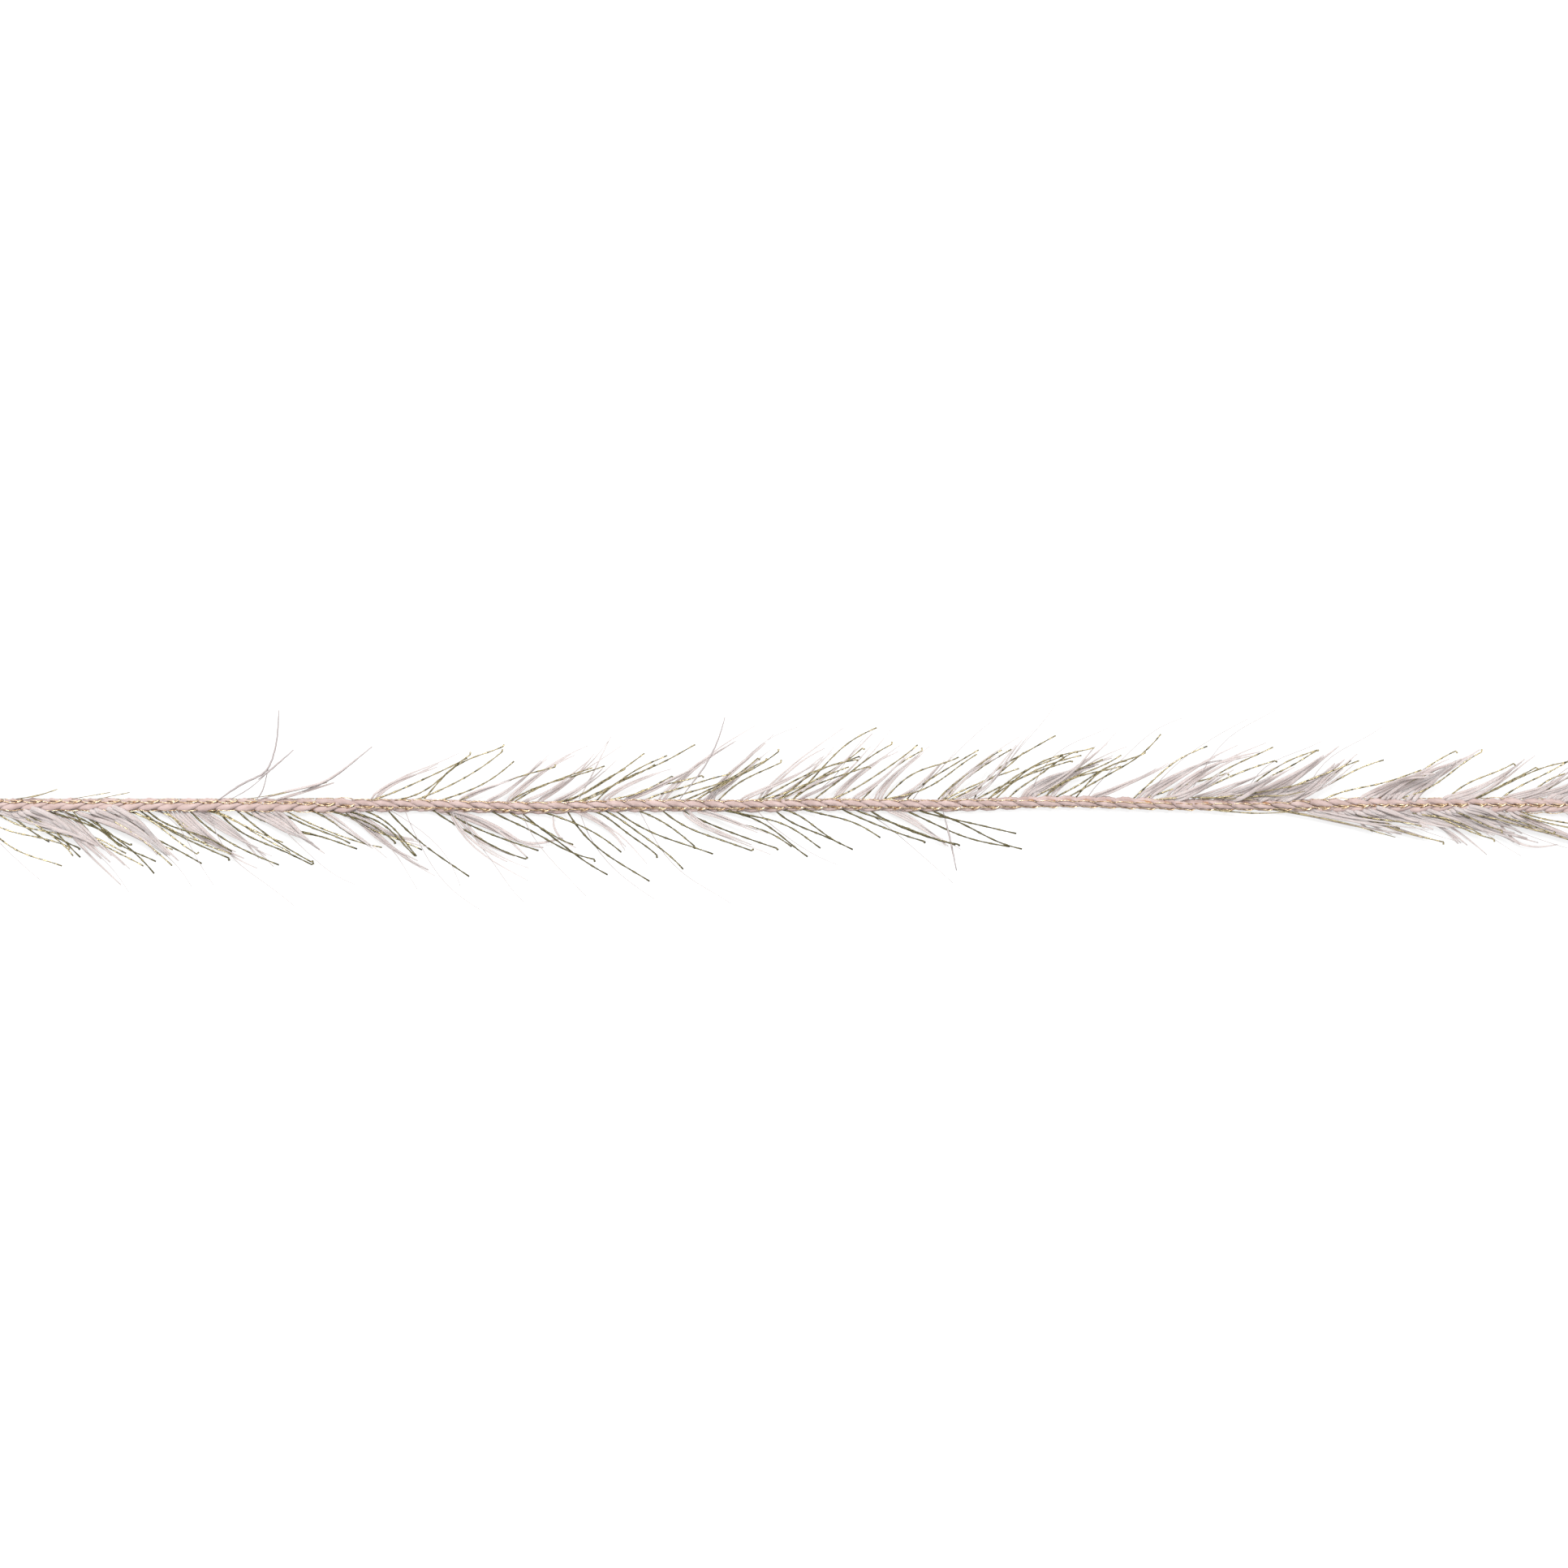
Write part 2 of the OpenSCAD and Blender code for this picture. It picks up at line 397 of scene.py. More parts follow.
def straight_points(start, end):
    """The laid-out strand's middle line, which ripples and bows a little to the far side."""
    step = 1.5 * MM
    bow, bow_at, bow_reach = 0.45 * MM, 168, 34
    ripple, short_wave, long_wave = 0.13 * MM, 5.3 * MM, 8.9 * MM
    # The height of the chain's middle in core radii: lying flat, and how much more when it stands on edge
    flat, more_on_edge = 0.92, 0.34
    count = round((end - start) / step)
    points = []
    for i in range(count + 1):
        x = start + (end - start) * i / count
        share = clamped((x - FREE_X) / (HANK_X - FREE_X))
        height = CORE_R * (flat + more_on_edge * math.sin(face_turn(x)) ** 2)
        waves = math.sin(x / short_wave) + math.sin(x / long_wave)
        bowed = bow * math.exp(-((from_free_end(x) - bow_at) / bow_reach) ** 2)
        points.append((x, ripple * waves * math.sin(math.pi * share) + bowed, height))
    return points


def hank_points():
    """The folded strand: nested turns that widen and narrow by layers, and a last run on top to the knot."""
    hank = bpy.context.scene.lash_trim_hank
    step = 1.2 * MM
    halves = [hank.inner + hank.beside * i for i in range(hank.turns)]
    turns = [(half, layer) for layer in range(hank.layers) for half in halves[::-1 if layer % 2 else 1]]
    left = HANK_X + halves[-1] + 2 * MM
    right = left + hank.run
    # The first layer is a little higher than the laid-out strand, as the chain stands on edge in places
    lowest = 1.3 * CORE_R
    top = lowest + hank.layers * hank.above
    hump = 2.2 * MM
    last_half = -HANK_KNOT.y
    places = []

    def run(start, end, side, new_side, z, rise=0.0):
        """A run along the hank, which may change its side and its height."""
        count = max(2, round(abs(end - start) / step))
        for i in range(count):
            share = i / count
            ease = smooth_step(share)
            places.append((start + (end - start) * share, side + (new_side - side) * ease, z + rise * ease))

    entry = left + 0.35 * hank.run
    run(HANK_X, entry, 0, -turns[0][0], CORE_R, lowest - CORE_R)
    for (half, layer), (after, above) in zip(turns, [*turns[1:], (last_half, hank.layers)]):
        z = lowest + layer * hank.above
        run(entry, right, -half, -half, z)
        entry = left
        count = round(math.pi * half / step)
        for i in range(count):
            angle = math.pi * (i / count - 0.5)
            places.append((right + half * math.cos(angle), half * math.sin(angle), z))
        run(right, left, half, half, z)
        rise = (above - layer) * hank.above
        for i in range(count):
            share = i / count
            reach = half + (after - half) * share
            angle = math.pi * (0.5 + share)
            # The strand comes back over the runs that are there already
            bump = hump * math.sin(math.pi * share) ** 2
            places.append((left + reach * math.cos(angle), reach * math.sin(angle), z + rise * share + bump))
    end = HANK_KNOT.x - 1.6 * MM
    count = round((end - left) / step)
    for i in range(count + 1):
        share = i / count
        climb = (HANK_KNOT.z - 0.5 * MM - top) * max(0, 4 * share - 3) ** 2
        places.append((left + (end - left) * share, -last_half, top + climb))
    return [cinched(Vector(p)) for p in smoothed(places)]


def smoothed(places, passes=2):
    """The same line with each inner point drawn towards its neighbours."""
    for _ in range(passes):
        inner = [tuple((a + 2 * b + c) / 4 for a, b, c in zip(*three))
                 for three in zip(places, places[1:], places[2:])]
        places = [places[0], *inner, places[-1]]
    return places


def rounded(points, pieces=5, passes=2):
    """The same line with more points on it and its corners rounded."""
    fine = []
    for here, there in zip(points, points[1:]):
        fine += [tuple(here.lerp(there, i / pieces)) for i in range(pieces)]
    return smoothed([*fine, tuple(points[-1])], passes)


def cinched(point):
    """Where a point of the hank goes when the tie pulls the middle in."""
    reach, narrower, flatter = 9 * MM, 0.2, 0.22
    tie_x = (tie_low.x + tie_high.x) / 2
    middle = hank_high.z / 2
    pull = math.exp(-((point.x - tie_x) / reach) ** 2)
    return Vector((point.x, point.y * (1 - narrower * pull),
                   middle + (point.z - middle) * (1 - flatter * pull)))


def above_floor(point, gap=FLOOR_GAP):
    return Vector((point.x, point.y, max(point.z, gap)))


# ---------------------------------------------------------------- building helpers

def only(obj):
    """Selects one object and makes it the active one."""
    bpy.ops.object.select_all(action="DESELECT")
    obj.select_set(True)
    bpy.context.view_layer.objects.active = obj


def new_object(name, data):
    obj = bpy.data.objects.new(name, data)
    bpy.context.scene.collection.objects.link(obj)
    return obj


def cross_section(width, height, sides, lobes=0, lobe=0.0):
    """A closed flat outline to sweep: an ellipse of that width and height, with lobes like plied yarn."""
    curve = bpy.data.curves.new("cross_section", "CURVE")
    curve.dimensions = "2D"
    outline = curve.splines.new("POLY")
    outline.points.add(sides - 1)
    for i, point in enumerate(outline.points):
        angle = math.tau * i / sides
        swell = 1 + lobe * math.cos(lobes * angle)
        point.co = (0.5 * width * swell * math.cos(angle), 0.5 * height * swell * math.sin(angle), 0, 1)
    outline.use_cyclic_u = True
    return new_object("cross_section", curve)


def swept(name, groups, level=True):
    """One closed mesh of many strands. A group has a cross-section, its lines of (point, scale, tilt) and a
    material."""
    parts = []
    for section, lines, finish in groups:
        curve = bpy.data.curves.new(name, "CURVE")
        curve.dimensions = "3D"
        curve.twist_mode = "Z_UP" if level else "MINIMUM"
        curve.bevel_mode = "OBJECT"
        curve.bevel_object = section
        curve.use_fill_caps = True
        for line in lines:
            spline = curve.splines.new("POLY")
            spline.points.add(len(line) - 1)
            spline.points.foreach_set("co", [v for point, _, _ in line for v in (*point, 1)])
            spline.points.foreach_set("radius", [scale for _, scale, _ in line])
            spline.points.foreach_set("tilt", [tilt for _, _, tilt in line])
            spline.use_smooth = True
        curve.materials.append(finish)
        only(new_object(name, curve))
        bpy.ops.object.convert(target="MESH")
        close_up()
        parts.append(bpy.context.active_object)
        bpy.data.objects.remove(section)
    only(parts[0])
    if len(parts) > 1:
        for part in parts:
            part.select_set(True)
        bpy.ops.object.join()
    whole = bpy.context.active_object
    whole.name = name
    whole.data.name = name
    return whole


def close_up():
    """Welds the end caps of the active mesh and turns its faces outwards."""
    bpy.ops.object.mode_set(mode="EDIT")
    bpy.ops.mesh.select_all(action="SELECT")
    bpy.ops.mesh.remove_doubles(threshold=1e-6)
    bpy.ops.mesh.normals_make_consistent(inside=False)
    bpy.ops.object.mode_set(mode="OBJECT")


def make_piece(name, groups, body, node, slot, level=True):
    """A piece that moves with one body and stands for one CAD node."""
    piece = swept(name, groups, level)
    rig.ride(piece, body)
    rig.replaces(piece, node)
    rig.slot(piece, slot)


def seeded(name):
    """Random numbers of a piece's own, the same at each run."""
    return random.Random(f"{sizes().seed} {name}")


class Span:
    """One length of the laid-out strand, which crosses one bend of the frame."""

    def __init__(self, number):
        self.number = number
        self.bend = BENDS[number - 1]
        self.bodies = BODIES[number - 1:number + 1]
        last = number == len(BENDS)
        self.start = FREE_X if last else self.bend.x - BEND_GAP / 2
        self.end = HANK_X if number == 1 else self.bend.x + BEND_GAP / 2
        self.route = Route(straight_points(self.start, self.end))

    def turn_at(self, distance):
        """How far the chain's face is turned at a distance along the span."""
        return face_turn(self.start + distance)

    def roots(self, row):
        """Distance, x and side of the stitches, for the lashes of one row."""
        for place in self.route.stitches():
            yield place, self.start + place, row_side(row, self.start + place)

    def make(self, name, groups, family, slot):
        """A piece that bends with the strand and stands for its two CAD nodes."""
        piece = swept(f"{name}_span_{self.number}", groups)
        reach = Vector((BEND_HALF, 0, 0))
        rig.blend(piece, *self.bodies, start=self.bend + reach, end=self.bend - reach)
        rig.replaces(piece, f"{family}_{self.number}", f"{family}_{self.number + 1}")
        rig.slot(piece, slot)


SPANS = [Span(i + 1) for i in range(len(BENDS))]


# ---------------------------------------------------------------- materials

COLOUR, NUMBER = "NodeSocketColor", "NodeSocketFloat"


def fill_in(node, values):
    """Sets a node's inputs, each by its name or number."""
    for socket, value in values.items():
        node.inputs[socket].default_value = value


def new_node(tree, kind, values=None, **settings):
    """A node with its settings and the values of its inputs."""
    node = tree.nodes.new(kind)
    for name, setting in settings.items():
        setattr(node, name, setting)
    fill_in(node, values or {})
    return node


def new_group(name, inputs, outputs):
    """A node group with its inputs by default value and its outputs by kind, and the sockets of both."""
    group = bpy.data.node_groups.new(name, "ShaderNodeTree")
    for socket, default in inputs.items():
        kind = NUMBER if isinstance(default, float) else COLOUR
        group.interface.new_socket(socket, in_out="INPUT", socket_type=kind).default_value = default
    for socket, kind in outputs.items():
        group.interface.new_socket(socket, in_out="OUTPUT", socket_type=kind)
    return group, group.nodes.new("NodeGroupInput").outputs, group.nodes.new("NodeGroupOutput").inputs


def link_all(tree, *pairs):
    for source, target in pairs:
        tree.links.new(source, target)


def fibre_group():
    """Fine streaks and slow drift of colour, as in brushed yarn: puts out a colour and a height."""
    name = "Fibre streaks"
    if name in bpy.data.node_groups:
        return bpy.data.node_groups[name]
    group, given, result = new_group(
        name, {"Light": (0.5, 0.4, 0.4, 1), "Shade": (0.3, 0.2, 0.2, 1), "Fineness": 3000.0},
        {"Color": COLOUR, "Height": NUMBER})
    place = new_node(group, "ShaderNodeTexCoord").outputs["Object"]
    stretched = new_node(group, "ShaderNodeMapping", {"Scale": (0.16, 1, 1)})
    streaks = new_node(group, "ShaderNodeTexNoise", {"Detail": 3})
    drift = new_node(group, "ShaderNodeTexNoise", {"Scale": 420, "Detail": 1})
    both = new_node(group, "ShaderNodeMath", {1: 0.55}, operation="MULTIPLY_ADD")
    ramp = new_node(group, "ShaderNodeMapRange", {"From Min": 0.55, "From Max": 1.0})
    mix = new_node(group, "ShaderNodeMix", data_type="RGBA")
    link_all(group,
             (place, stretched.inputs["Vector"]), (stretched.outputs["Vector"], streaks.inputs["Vector"]),
             (given["Fineness"], streaks.inputs["Scale"]), (place, drift.inputs["Vector"]),
             (streaks.outputs["Fac"], both.inputs[0]), (drift.outputs["Fac"], both.inputs[2]),
             (both.outputs["Value"], ramp.inputs["Value"]), (ramp.outputs["Result"], mix.inputs["Factor"]),
             (given["Shade"], mix.inputs["A"]), (given["Light"], mix.inputs["B"]),
             (mix.outputs["Result"], result["Color"]), (streaks.outputs["Fac"], result["Height"]))
    return group


def foil_group():
    """Light and dark turns of a twisted metallic thread, with painted glints and shade: puts out a colour, a roughness
    and a height.
    """
    name = "Foil turns"
    if name in bpy.data.node_groups:
        return bpy.data.node_groups[name]
    group, given, result = new_group(
        name,
        {"Light": (0.8, 0.7, 0.4, 1), "Shade": (0.2, 0.15, 0.1, 1), "Fineness": 1700.0, "Darkness": 0.5},
        {"Color": COLOUR, "Roughness": NUMBER, "Height": NUMBER})
    place = new_node(group, "ShaderNodeTexCoord").outputs["Object"]
    # Light turns are partly the foil ply and partly painted glints; dark turns partly the darker ply and partly
    # painted shade
    turns = new_node(group, "ShaderNodeTexNoise", {"Detail": 2, "Roughness": 0.7})
    below = new_node(group, "ShaderNodeMath", operation="SUBTRACT")
    contrast = new_node(group, "ShaderNodeMapRange", {"From Min": -0.1, "From Max": 0.1})
    mix = new_node(group, "ShaderNodeMix", data_type="RGBA")
    rough = new_node(group, "ShaderNodeMapRange", {"To Min": 0.5, "To Max": 0.24})
    link_all(group,
             (place, turns.inputs["Vector"]), (given["Fineness"], turns.inputs["Scale"]),
             (turns.outputs["Fac"], below.inputs[0]), (given["Darkness"], below.inputs[1]),
             (below.outputs["Value"], contrast.inputs["Value"]),
             (contrast.outputs["Result"], mix.inputs["Factor"]),
             (given["Shade"], mix.inputs["A"]), (given["Light"], mix.inputs["B"]),
             (contrast.outputs["Result"], rough.inputs["Value"]),
             (mix.outputs["Result"], result["Color"]), (rough.outputs["Result"], result["Roughness"]),
             (turns.outputs["Fac"], result["Height"]))
    return group


def new_material(name):
    material = bpy.data.materials.new(name)
    material.use_nodes = True
    return material, material.node_tree, material.node_tree.nodes["Principled BSDF"]


def thread_material(name, pattern, light, shade, values, bump, depth, shading):
    """A material with the colour and the bump of a node group, made the first time it is asked for."""
    if name in bpy.data.materials:
        return bpy.data.materials[name]
    material, tree, shader = new_material(name)
    tints = {"Light": (*light, 1), "Shade": (*shade, 1)}
    thread = new_node(tree, "ShaderNodeGroup", tints | values, node_tree=pattern)
    raised = new_node(tree, "ShaderNodeBump", {"Strength": bump, "Distance": depth})
    fill_in(shader, shading)
    link_all(tree, (thread.outputs["Color"], shader.inputs["Base Color"]),
             (thread.outputs["Height"], raised.inputs["Height"]),
             (raised.outputs["Normal"], shader.inputs["Normal"]))
    if "Roughness" in thread.outputs:
        tree.links.new(thread.outputs["Roughness"], shader.inputs["Roughness"])
    return material


def yarn_material(name, light, shade, fineness, sheen, bump, glow=None):
    """Soft matte yarn, which light may go through."""
    shading = {"Roughness": 0.8, "Specular IOR Level": 0.25, "Sheen Weight": sheen, "Sheen Roughness": 0.5,
               "Sheen Tint": (1, 0.95, 0.93, 1), **(glow or {})}
    return thread_material(name, fibre_group(), light, shade, {"Fineness": fineness}, bump, 0.1 * MM, shading)


def foil_material(name, light, shade, darkness):
    """Twisted metallic thread, whose light and dark turns carry painted glints and shade."""
    return thread_material(name, foil_group(), light, shade, {"Darkness": darkness}, 0.5, 0.08 * MM,
                           {"Metallic": 0.6})


def core_yarn():
    return yarn_material("rose core yarn", colours().yarn, colours().yarn_shade, 6000, 0.25, 0.6)


# The inside rod's yarn: its dark colour is painted shade between the stitches
def shaded_inside_yarn():
    return yarn_material("core inside with painted shade", colours().recess_tint_and_shade, colours().yarn_shade, 2600, 0.0, 0.3)


def rose_filaments():
    glow = {"Subsurface Weight": 0.4, "Subsurface Radius": (1, 0.85, 0.8), "Subsurface Scale": 0.6 * MM}
    return yarn_material("rose filaments", colours().rose, colours().rose_shade, 7000, 0.2, 0.4, glow)


def chain_gold():
    return foil_material("gold thread in the chain", colours().chain_gold, colours().chain_shade, 0.5)


def bright_gold():
    return foil_material("bright gold lash", colours().gold, colours().gold_shade, 0.46)


# Gold lash darkened as painted shade, for the near side's lashes
def shaded_side_gold():
    return foil_material("gold lash in painted shade", colours().gold_shaded_side, colours().gold_shade, 0.47)


def silvery_fibre():
    return yarn_material("silvery fibre", colours().fibre, colours().rose_shade, 3000, 0.1, 0.1)


# ---------------------------------------------------------------- the chain-stitched core

# One leg of a stitch from its base, on top of the stitch before, to its head, under the stitch after it. A
# point has its share of the stitch, distance across, depth in front of the middle and thickness, in legs
LEG = ((0.74, 0.07, 0.52, 0.22), (0.52, 0.22, 0.50, 0.56), (0.22, 0.42, 0.42, 0.90),
       (-0.14, 0.56, 0.28, 1.04), (-0.46, 0.58, 0.10, 0.86), (-0.74, 0.46, -0.10, 0.40))
# The loop across the back of a stitch
BACK = ((0.64, -0.54, -0.08, 0.22), (0.42, -0.42, -0.24, 0.66), (0.14, -0.15, -0.40, 0.9),
        (-0.14, 0.15, -0.40, 0.9), (-0.42, 0.42, -0.24, 0.66), (-0.64, 0.54, -0.08, 0.22))
# The metallic thread along the middle of a stitch, across it, and as a second fine tick. A point has its
# share of the stitch, distance across and depth in legs, then the thread's thickness and tilt
SEAM = ((-0.42, 0.06, 0.70, 1, 0), (-0.15, -0.06, 0.66, 1, 0.8), (0.12, -0.10, 0.70, 1, 1.6),
        (0.36, 0.05, 0.82, 1, 2.4))
TICK = ((0.52, 0.30, 0.80, 0.9, 0), (0.40, 0.12, 0.88, 1.45, 0.5), (0.26, -0.10, 0.86, 1.45, 1.2),
        (0.08, -0.34, 0.76, 0.9, 2))
FINE_TICK = ((0.42, 0.08, 0.80, 0.9, 0), (0.18, 0.16, 0.80, 1.0, 0.7), (-0.12, 0.24, 0.74, 0.8, 1.5))


def leg_section(sides):
    """The outline of a leg of the chain, which shows the lobes of its plies where it has many sides."""
    leg = sizes().leg
    return cross_section(leg, 0.94 * leg, sides, lobes=5 if sides > 8 else 0, lobe=0.045)


def chain_lines(route, turn_at, rng):
    """The legs and back loops of every stitch on a route."""
    leg, pitch = sizes().leg, route.pitch()
    lines = []
    for middle in route.stitches():
        turn = turn_at(middle)

        def loop(shape, at, side, size, tilt):
            return [(route.around(at + along * pitch, side * across * leg * size, depth * leg, turn),
                     thick * size, tilt * i) for i, (along, across, depth, thick) in enumerate(shape)]

        for side in (1, -1):
            size = rng.uniform(0.9, 1.08)
            lines.append(loop(LEG, middle + rng.uniform(-0.09, 0.09) * pitch, side, size, side * 0.9))
        lines += [loop(BACK, middle, side, 1, 1) for side in (1, -1)]
    return lines


def inner_line(route, turn_at):
    """A darker rod inside the chain, which shows only between the stitches: its darkness is painted shade in those
    gaps.
    """
    count = 2 * route.stitch_count()
    places = [route.length * i / count for i in range(count + 1)]
    return [(route.around(place, 0, 0, 0), 0.94 + 0.06 * (i % 2), turn_at(place))
            for i, place in enumerate(places)]


def core_groups(name, route, turn_at, sides):
    """The chain of one stretch and the darker rod inside it, painted shade between the stitches."""
    leg = sizes().leg
    return [(leg_section(sides), chain_lines(route, turn_at, seeded(name)), core_yarn()),
            (cross_section(1.35 * leg, 0.8 * leg, 10), [inner_line(route, turn_at)], shaded_inside_yarn())]


def gold_in_chain(route, turn_at, rng, fine=True):
    """The metallic thread in the chain: a seam line, a tick at each stitch and loops at the edges."""
    leg, pitch = sizes().leg, route.pitch()
    seam, edges, ticks = [], {1: [], -1: []}, []
    for middle in route.stitches():
        turn = turn_at(middle)
        lift = rng.uniform(0.98, 1.06)

        def laid(shape):
            return [(route.around(middle + along * pitch, across * leg, depth * leg * lift, turn), thick,
                     tilt) for along, across, depth, thick, tilt in shape]

        seam += laid(SEAM)
        ticks.append(laid(TICK))
        if fine:
            ticks.append(laid(FINE_TICK))
        for side in (1, -1):
            bulge = rng.uniform(1.0, 1.16)
            edges[side] += laid(((-0.44, side * 0.98, 0.18, 0.9, 0), (-0.2, side * bulge, 0.14, 0.9, 1),
                                 (0.1, side * bulge, 0.16, 0.9, 2), (0.36, side * 0.95, 0.24, 0.9, 3)))
    return [seam, edges[1], edges[-1], *ticks]


# ---------------------------------------------------------------- lashes

def lash_steps(rng, length, slope, steps, wave=5.0, rising=0.25):
    """(along, out) of the points of one lash, which eases from a steep to a low slope, or rises instead."""
    root = math.radians(slope * rng.uniform(1.25, 1.6))
    tip = math.radians(slope * rng.uniform(0.55, 0.95))
    if rng.random() < rising:
        root, tip = tip * 0.7, root * 0.9
    sway = math.radians(rng.uniform(-wave, wave))
    phase = rng.uniform(0, math.tau)
    along = out = 0.0
    places = [(0.0, 0.0, root)]
    for i in range(steps):
        share = (i + 0.5) / steps
        angle = tip + (root - tip) * (1 - share) ** 1.6 + sway * math.sin(math.tau * share + phase)
        along += math.cos(angle) * length / steps
        out += math.sin(angle) * length / steps
        places.append((along, out, angle))
    return places


def rose_lock(rng, route, root, side, slope, web, length, lift, steps=9, hug=1.0, most=9):
    """A lock of flat filaments, which leave the core side by side as a web and split into tapered tips."""
    # A wide web is leafy: its filaments are broad, lie flatter and start on top of the chain
    leafy = clamped(web - 0.7)
    broad = 1 + 0.9 * leafy
    over, shoulder = 1.2 * MM * leafy, 1.6 * MM
    shorter = 0.2 + 0.06 * leafy
    fewest, per_width = 1.8, 2.3
    middle = lash_steps(rng, length, slope * (1 - 0.15 * leafy), steps, rising=0.5)
    count = clamped(round(fewest + per_width * web * rng.uniform(0.6, 1.25)), 2, most)
    spread = 0.9 * MM * (0.5 + web)
    tips = [rng.uniform(-1, 1) * spread for _ in range(rng.choice((1, 2, 2, 3)))]
    split = rng.uniform(0.45, 0.7)
    foot = (0.6 + 2.2 * leafy) * MM * rng.uniform(0.6, 1.3)
    half = 0.48 * web * MM * rng.uniform(0.7, 1.15)
    start = (0.62 - 0.4 * leafy * rng.random()) * MM
    lines = []
    for i in range(count):
        place = -1 + 2 * (i + rng.uniform(0.25, 0.75)) / count
        tip = tips[int(len(tips) * i / count)]
        # Every fourth filament is a whisker, which is longer and tapers from its root
        whisker = i % 4 == 1
        reach = rng.uniform(0.92, 1.1) if whisker else 1 - shorter * rng.uniform(0.3, 1) - 0.1 * abs(place)
        thinner, late = (0.7, 1.2) if whisker else (0.62, 3)
        own_lift = rng.uniform(-0.15, 0.15) * MM
        line = []
        for j, (along, out, angle) in enumerate(middle):
            share = j / steps
            width = place * half * math.sin(math.pi * min(1, 0.15 + share / 0.95)) ** 0.7
            apart = tip * max(0, share - split) ** 1.5 * 2.4
            shift = width + apart
            x = along * reach - shift * math.sin(angle) - place * foot * (1 - share) ** 2
            y = start + out * reach * hug + shift * math.cos(angle)
            draped = over * math.sqrt(max(0, 1 - (y / shoulder) ** 2))
            z = lift * share ** 1.3 + own_lift * share + 0.02 * MM * i + draped
            if j == 0:
                # The root is locked inside the chain
                y, z = 0.25 * y, 0.0
            taper = (1 if j else 0.6) - thinner * share ** late
            thick = (0.88 + 0.4 * leafy * math.sin(math.pi * share)) * broad * taper
            line.append((above_floor(route.beside(root + x, side * y, z)), max(thick, 0.12), 0.0))
        lines.append(line)
    return lines


def gold_lash(rng, route, root, side, slope, length, lift, steps=18, hug=1.0):
    """One twisted metallic thread, often with a small hook or bead where it was cut."""
    middle = lash_steps(rng, length, slope, steps, wave=9.0, rising=0.4)
    twist = 1.25
    start, bead = 0.5 * MM, 0.22 * MM
    line = []
    for j, (along, out, _) in enumerate(middle):
        share = j / steps
        place = route.beside(root + along, side * (start + out * hug), lift * share ** 1.2)
        line.append((above_floor(place), 1.0 - 0.2 * share, twist * j))
    if rng.random() < 0.4:
        along, out, angle = middle[-1]
        hook = angle + math.radians(rng.choice((-1, 1)) * rng.uniform(20, 80))
        for k, thick in ((1, 1.3), (2, 0.8)):
            far = side * (start + (out + k * bead * math.sin(hook)) * hug)
            place = route.beside(root + along + k * bead * math.cos(hook), far, lift)
            line.append((above_floor(place), thick, twist * (steps + k)))
    return line


def fine_fibre(rng, route, root, side, slope, length, lift, steps=10):
    """One long thin fibre."""
    start = 0.4 * MM
    return [(above_floor(route.beside(root + along, side * (start + out), lift * (j / steps))),
             1 - 0.5 * j / steps, 0.0)
            for j, (along, out, _) in enumerate(lash_steps(rng, length, slope, steps, wave=10.0))]


def row_side(row, x):
    """+1 where a row of lashes stands on the far side, and -1 on the near side."""
    start, end = ROW_A_FAR if row == "a" else ROW_B_FAR
    return 1 if start < from_free_end(x) < end else -1


def slope_of(side, x):
    return eased(from_free_end(x), FAR_SLOPE if side > 0 else NEAR_SLOPE)


def shares_side(x):
    """True where both rows stand on the same side."""
    return row_side("a", x) == row_side("b", x)


def rose_share(side, x):
    """How many of the stitches have a rose lock in one row."""
    return eased(from_free_end(x), ROSE_FAR if side > 0 else ROSE_NEAR)


def gold_count(rng, side, x):
    """How many gold lashes a stitch has in one row."""
    share = eased(from_free_end(x), GOLD_FAR if side > 0 else GOLD_NEAR)
    return (1 if rng.random() < share else 0) + (1 if rng.random() < 0.12 else 0)


